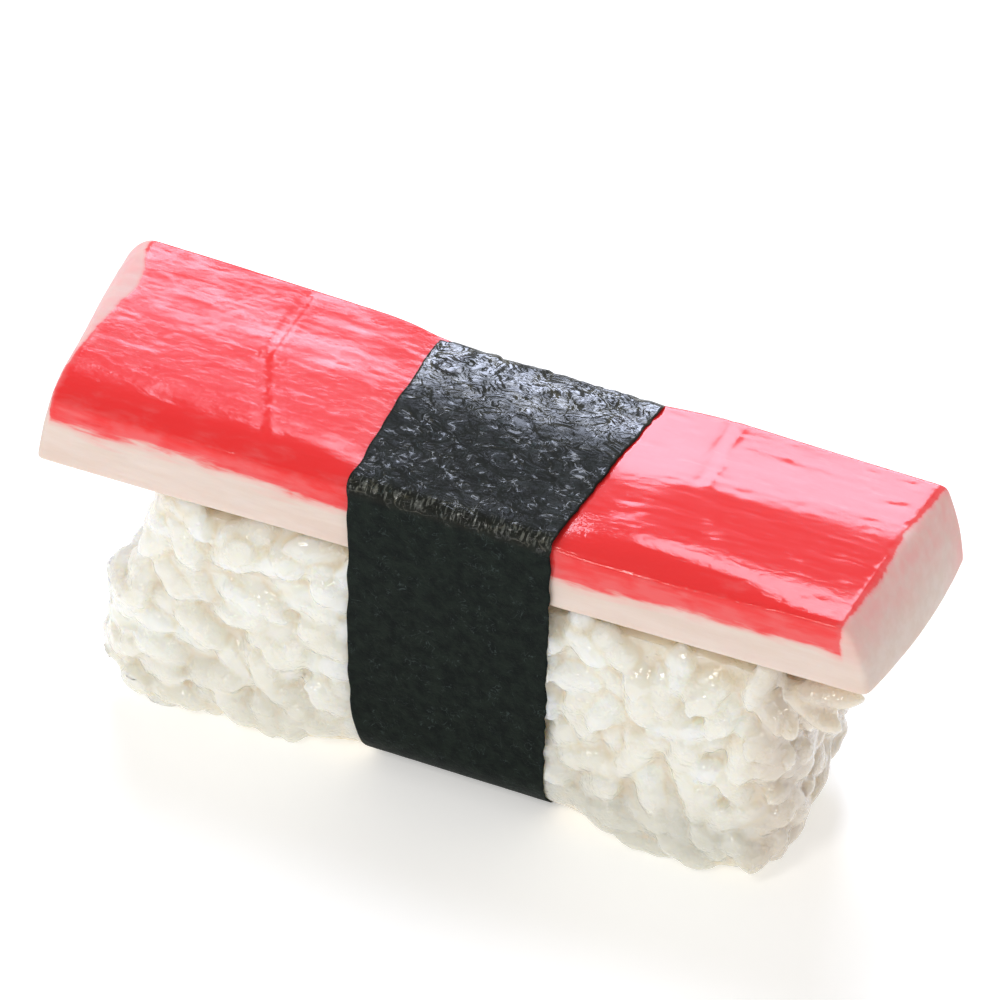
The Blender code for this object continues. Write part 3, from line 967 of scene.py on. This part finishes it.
def add_softbox(name, direction, distance, size, power, tint):
    """An area light that faces the food from this direction."""
    bpy.ops.object.light_add(type="AREA")
    lamp = bpy.context.object
    lamp.name = name
    aim = Vector((0, 0, 20 * MM))
    place = Vector(direction).normalized() * distance + aim
    lamp.matrix_world = Matrix.Translation(place) @ (place - aim).to_track_quat("Z", "Y").to_matrix().to_4x4()
    lamp.data.shape = "RECTANGLE"
    lamp.data.size, lamp.data.size_y = size
    lamp.data.energy = power
    lamp.data.color = tint


def from_angles(azimuth, elevation):
    """Direction at this azimuth, counted from the front to the right, and elevation."""
    level = math.cos(elevation)
    return Vector((math.sin(azimuth) * level, -math.cos(azimuth) * level, math.sin(elevation)))


def add_camera(settings):
    """The photograph's view: a long lens from the front right, above."""
    towards = from_angles(settings.azimuth, settings.elevation)
    right = Vector((math.cos(settings.azimuth), math.sin(settings.azimuth), 0))
    upward = towards.cross(right)
    aim = Vector((0, 0, STICK_HIGH.z)) + right * settings.aim_right + upward * settings.aim_up
    bpy.ops.object.camera_add()
    camera = bpy.context.object
    turned = Matrix((right, upward, towards)).transposed().to_4x4()
    camera.matrix_world = Matrix.Translation(aim + towards * settings.distance) @ turned
    camera.data.sensor_width = 36
    camera.data.lens = 400
    camera.data.clip_start = 0.01
    bpy.context.scene.camera = camera


def add_floor(settings):
    floor = add_mesh(bpy.ops.mesh.primitive_plane_add, "floor", size=3)
    colour = (*settings.floor_colour, 1.0)
    glow = {"Emission_Color": colour, "Emission_Strength": settings.floor_glow}
    shader = Shader("floor", Base_Color=colour, Roughness=0.8, Specular_IOR_Level=0.1, **glow)
    floor.data.materials.append(shader.material)


def set_world(settings):
    world = bpy.data.worlds.new("studio")
    world.use_nodes = True
    background = world.node_tree.nodes["Background"]
    background.inputs["Color"].default_value = (*settings.world_colour, 1.0)
    background.inputs["Strength"].default_value = settings.world_strength
    bpy.context.scene.world = world
    bpy.context.scene.view_settings.view_transform = "Standard"
    bpy.context.scene.view_settings.look = "None"


# Soft boxes: azimuth in degrees (None: opposite the camera) and elevation, distance, size and tint
SOFTBOXES = {
    "window": (None, 35.5, 1.0, (0.38, 0.30), (0.72, 0.79, 1.0)),
    "overhead": (None, 62, 0.9, (0.30, 0.28), (0.78, 0.84, 1.0)),
    "key": (-5, 50, 0.9, (0.20, 0.20), (1.0, 0.97, 0.92)),
    "sparkle": (-15, 14, 0.9, (0.12, 0.12), (1.0, 0.98, 0.95)),
}


def build_stage(settings):
    add_camera(settings)
    add_floor(settings)
    set_world(settings)
    for name, (azimuth, elevation, distance, size, tint) in SOFTBOXES.items():
        turned = settings.azimuth + math.pi if azimuth is None else math.radians(azimuth)
        direction = from_angles(turned, math.radians(elevation))
        add_softbox(name, direction, distance, size, getattr(settings, f"{name}_power"), tint)


def setting(kind, **fixed):
    """A function that declares settings of this kind."""
    return lambda name, about, default: kind(name=name, description=about, default=default, **fixed)


length = setting(FloatProperty, unit="LENGTH", precision=5)
angle = setting(FloatProperty, subtype="ANGLE")
power = setting(FloatProperty, unit="POWER")
plain = setting(FloatProperty)
count = setting(IntProperty)
tone = setting(FloatVectorProperty, subtype="COLOR", size=3)


class StickSettings(bpy.types.PropertyGroup):
    pinch: length("Pinch", "How far the band draws the stick in", 0.55 * MM)
    softness: length("Softness", "How far light travels in the flesh", 1.2 * MM)
    flesh: tone("Flesh", "Undyed flesh", (0.84, 0.705, 0.625))
    flesh_shade: tone("Flesh shade", "Darker streaks of the flesh", (0.80, 0.645, 0.555))
    blush: tone("Blush", "Pink where dye has run into the flesh", (0.93, 0.40, 0.38))
    dye_deep: tone("Deep dye", "Dye where it is thick", (0.92, 0.038, 0.038))
    dye_thin: tone("Thin dye", "Dye where it is brushed thin", (0.91, 0.115, 0.115))


class RiceSettings(bpy.types.PropertyGroup):
    grain_length: length("Grain length", "Length of a cooked grain", 6.6 * MM)
    grain_width: length("Grain width", "Width of a cooked grain", 2.8 * MM)
    grain_thickness: length("Grain thickness", "Thickness of a cooked grain", 2.0 * MM)
    spacing: length("Spacing", "Least distance between two grains' spines", 1.8 * MM)
    starch: length("Starch", "Starch that fills the creases between grains", 0.28 * MM)
    outer_depth: length("Outer depth", "Depth of the outer grains' middles", 0.95 * MM)
    layer_step: length("Layer step", "How much deeper the second layer lies", 0.45 * MM)
    core_depth: length("Core depth", "Depth of the core under the envelope", 1.05 * MM)
    softening: count("Softening", "Rounds of smoothing over the fused grains", 1)
    fineness: length("Fineness", "Cells that the grains are fused in", 0.21 * MM)
    tries: count("Tries", "Grains tried in each layer", 6000)
    most_triangles: count("Triangles", "Most triangles of each part of the block", 190000)
    seed: count("Seed", "Seed of the grains' places", 4)
    softness: length("Softness", "How far light travels in a grain", 2.4 * MM)
    grain: tone("Grain", "Cooked rice", (0.97, 0.945, 0.86))
    grain_shade: tone("Grain shade", "Clearer parts of the grains", (0.88, 0.855, 0.76))
    # Painted shade: the greyer, darker colour of the grains near the plate
    foot_shade_tint: tone("Foot", "Grains near the plate", (0.72, 0.71, 0.635))
    # Painted shade: the darker colour of the grains at the right end
    end_shade_tint: tone("End", "Grains at the right end", (0.72, 0.65, 0.56))
    # Painted shade: the darker, warmer colour of the gaps, of the seams between grains and of the rice under the
    # stick
    gap_shade_tint: tone("Gap", "The gaps between grains", (0.86, 0.77, 0.61))


class BandSettings(bpy.types.PropertyGroup):
    thickness: length("Thickness", "Thickness of the sheet", 0.15 * MM)
    pinch: length("Pinch", "How far the sheet lies below the stick's top", 0.30 * MM)
    fineness: length("Fineness", "Size of the sheet's faces", 0.24 * MM)
    facets: count("Facets", "Facets of the crinkled top", 190)
    seed: count("Seed", "Seed of the facets", 3)
    gloss: plain("Gloss", "Reflection of the wet part", 1.0)
    sheet: tone("Sheet", "Dried seaweed", (0.012, 0.018, 0.014))
    sheet_shade: tone("Sheet shade", "Its darker blotches", (0.006, 0.009, 0.008))
    thread: tone("Thread", "Paler threads in the dry sheet", (0.034, 0.046, 0.044))
    # Painted highlight: the pale strokes along the front shoulder
    shoulder_highlight: tone("Frayed", "Pale hairs over the front shoulder", (0.20, 0.21, 0.18))
    # Painted shade: the darker, warmer colour of the sheet's top
    top_shade: tone("Soaked", "The sheet where it lies wet on the stick", (0.016, 0.014, 0.010))
    crevice: tone("Crevice", "Olive in the creases of the wet part", (0.060, 0.053, 0.020))


class StageSettings(bpy.types.PropertyGroup):
    azimuth: angle("Azimuth", "Turn of the camera to the right", math.radians(24.7))
    elevation: angle("Elevation", "Height of the camera", math.radians(41.0))
    distance: length("Distance", "From the camera to the stick's top", 954.6 * MM)
    aim_right: length("Aim right", "Middle of the view from the stick's", 0.644 * MM)
    aim_up: length("Aim up", "Middle of the view from the stick's", -5.988 * MM)
    floor_colour: tone("Floor", "Plain pale floor", (0.90, 0.895, 0.88))
    floor_glow: plain("Floor glow", "Light of the floor itself", 0.42)
    world_colour: tone("World", "Light from all round", (1.0, 1.0, 1.0))
    world_strength: plain("World strength", "Strength of the light from all round", 0.44)
    window_power: power("Window", "Light behind the food", 4.3)
    overhead_power: power("Overhead", "Light from above", 2.9)
    key_power: power("Key", "Light from the front", 1.4)
    sparkle_power: power("Sparkle", "Small low light for the wet rice", 0.65)


class NigiriSettings(bpy.types.PropertyGroup):
    stick: PointerProperty(type=StickSettings)
    rice: PointerProperty(type=RiceSettings)
    band: PointerProperty(type=BandSettings)
    stage: PointerProperty(type=StageSettings)


class NIGIRI_OT_stick(bpy.types.Operator):
    """Model the dyed surimi stick"""

    bl_idname = "nigiri.stick"
    bl_label = "Surimi Stick"

    def execute(self, context):
        build_stick(context.scene.nigiri.stick)
        return {"FINISHED"}


class NIGIRI_OT_rice(bpy.types.Operator):
    """Model the block of pressed rice"""

    bl_idname = "nigiri.rice"
    bl_label = "Rice Block"

    def execute(self, context):
        build_rice(context.scene.nigiri.rice)
        return {"FINISHED"}


class NIGIRI_OT_band(bpy.types.Operator):
    """Model the band of nori"""

    bl_idname = "nigiri.band"
    bl_label = "Nori Band"

    def execute(self, context):
        build_band(context.scene.nigiri.band)
        return {"FINISHED"}


class NIGIRI_OT_stage(bpy.types.Operator):
    """Set up the floor, the lights and the camera"""

    bl_idname = "nigiri.stage"
    bl_label = "Studio Stage"

    def execute(self, context):
        build_stage(context.scene.nigiri.stage)
        return {"FINISHED"}


class NIGIRI_PT_panel(bpy.types.Panel):
    bl_label = "Surimi Nigiri"
    bl_idname = "NIGIRI_PT_panel"
    bl_space_type = "VIEW_3D"
    bl_region_type = "UI"
    bl_category = "Nigiri"

    def draw(self, context):
        for part in ("stick", "rice", "band", "stage"):
            box = self.layout.box()
            box.operator(f"nigiri.{part}")
            group = getattr(context.scene.nigiri, part)
            for name in group.bl_rna.properties.keys():
                if name not in ("rna_type", "name"):
                    box.prop(group, name)


SETTINGS = (StickSettings, RiceSettings, BandSettings, StageSettings, NigiriSettings)
CLASSES = (*SETTINGS, NIGIRI_OT_stick, NIGIRI_OT_rice, NIGIRI_OT_band, NIGIRI_OT_stage, NIGIRI_PT_panel)


def register():
    for each in CLASSES:
        bpy.utils.register_class(each)
    bpy.types.Scene.nigiri = PointerProperty(type=NigiriSettings)


def unregister():
    del bpy.types.Scene.nigiri
    for each in reversed(CLASSES):
        bpy.utils.unregister_class(each)


def main():
    register()
    bpy.ops.nigiri.stage()
    bpy.ops.nigiri.stick()
    bpy.ops.nigiri.rice()
    bpy.ops.nigiri.band()


if __name__ == "__main__":
    main()
